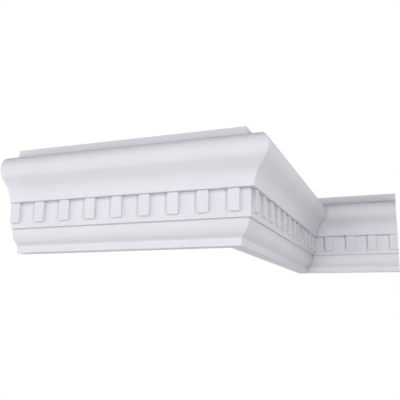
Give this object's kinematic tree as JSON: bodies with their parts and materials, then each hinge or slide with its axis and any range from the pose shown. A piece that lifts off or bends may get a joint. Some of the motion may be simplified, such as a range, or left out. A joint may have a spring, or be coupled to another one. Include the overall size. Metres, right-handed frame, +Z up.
{
  "type": "dentil moulding",
  "caption": "White dentil cornice that turns an outer and an inner wall corner, with ovolo, dentil band, cyma, roll and cove, mitred at both corners.",
  "frame": {"origin": "the middle of the front length's wall face, half way along it and half way up the moulding", "axes": "+X along the front wall towards the outer corner, +Y into the front wall, +Z up to the ceiling"},
  "size_m": [0.614, 0.6495, 0.18],
  "materials": {
    "white_paint": "smooth white paint, matt with a slight eggshell sheen"
  },
  "bodies": {
    "root": {"front_length": "white_paint", "return_length": "white_paint", "rear_length": "white_paint"}
  },
  "joints": []
}
